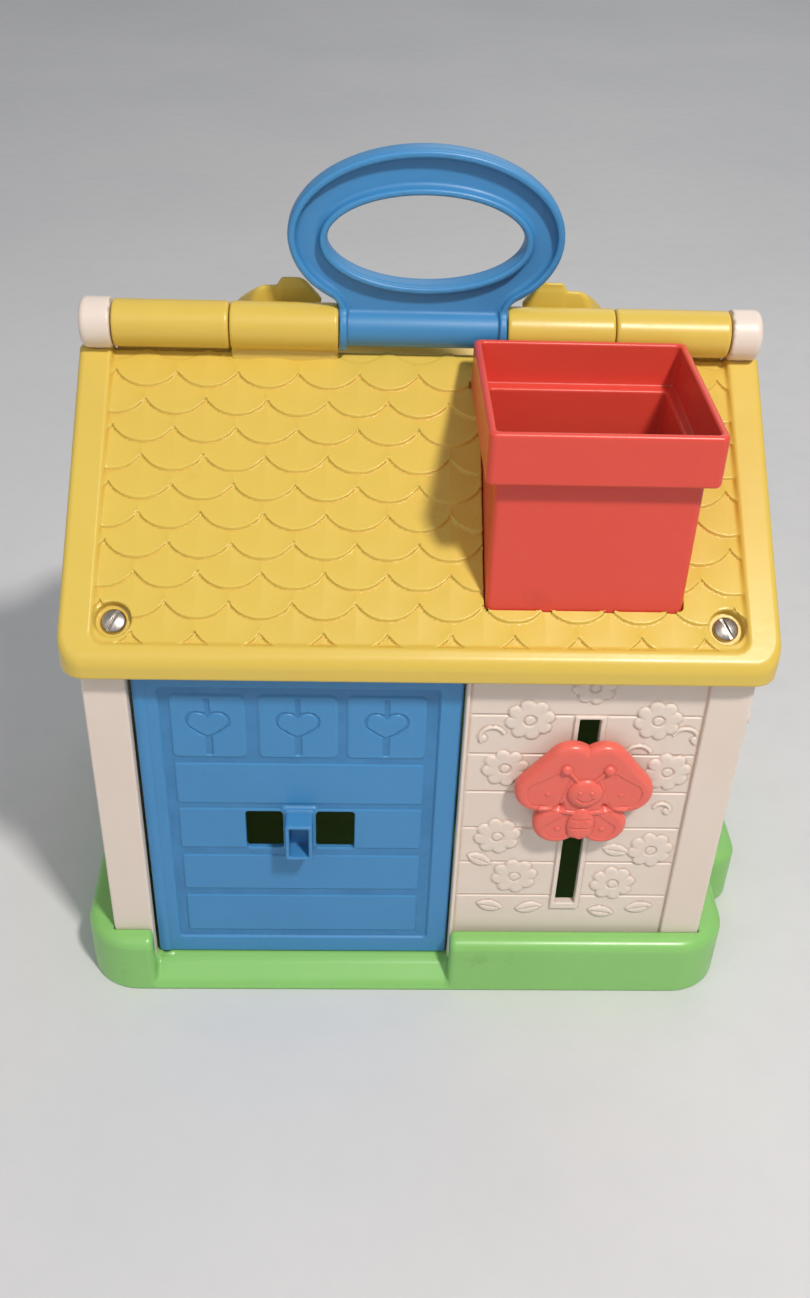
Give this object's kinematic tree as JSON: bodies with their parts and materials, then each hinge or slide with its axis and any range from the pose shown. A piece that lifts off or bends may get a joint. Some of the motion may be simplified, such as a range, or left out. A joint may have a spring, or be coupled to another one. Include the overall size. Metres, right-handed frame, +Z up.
{
  "type": "shape sorter",
  "caption": "Toy cottage shape sorter: drop-through chimney, hinged rear roof with shape holes, folding carry handle, opening doors and a sliding butterfly.",
  "frame": {"origin": "centre of the house's four walls, on the surface that the base stands on", "axes": "+X to the right as seen from the front, +Y to the back, +Z up"},
  "size_m": [0.261, 0.1921, 0.2945],
  "materials": {
    "cream_plastic": "satin moulded plastic",
    "yellow_plastic": "satin moulded plastic",
    "red_plastic": "glossy moulded plastic",
    "blue_plastic": "satin moulded plastic",
    "green_plastic": "glossy moulded plastic",
    "coral_plastic": "glossy moulded plastic",
    "steel": "plated, slightly dulled"
  },
  "bodies": {
    "house": {"base": "green_plastic", "front_wall": "cream_plastic", "rear_wall": "cream_plastic", "left_gable": "cream_plastic", "right_gable": "cream_plastic", "front_roof": "yellow_plastic", "chimney": "red_plastic", "chimney_frame": "cream_plastic", "chimney_screws": "steel", "hinge_rod": "steel", "roof_screws": "steel", "base_screws": "steel", "garage_door_pin": "steel", "side_door_pin": "steel"},
    "lid": {"rear_roof": "yellow_plastic", "sorter_drum": "yellow_plastic", "drum_screws": "steel"},
    "handle": {"carry_handle": "blue_plastic"},
    "garage_leaf": {"garage_door": "blue_plastic"},
    "side_leaf": {"side_door": "blue_plastic"},
    "slider": {"butterfly": "coral_plastic", "butterfly_slider": "cream_plastic", "butterfly_screw": "steel"}
  },
  "joints": [
    {"name": "lid_hinge", "type": "hinge", "parent": "house", "child": "lid", "pos_m": [0, 0, 0.233], "axis": [1, 0, 0], "range_deg": [0, 40]},
    {"name": "handle_fold", "type": "hinge", "parent": "lid", "child": "handle", "pos_m": [0, 0, 0.233], "axis": [-1, 0, 0], "range_deg": [0, 120]},
    {"name": "garage_door_swing", "type": "hinge", "parent": "house", "child": "garage_leaf", "pos_m": [-0.0936, -0.0812, 0.08], "axis": [0, 0, -1], "range_deg": [0, 90]},
    {"name": "side_door_swing", "type": "hinge", "parent": "house", "child": "side_leaf", "pos_m": [0.1106, 0.0275, 0.08], "axis": [0, 0, 1], "range_deg": [0, 95]},
    {"name": "butterfly_slide", "type": "slide", "parent": "house", "child": "slider", "axis": [0, 0, 1], "range_m": [-0.049, 0.02]}
  ]
}
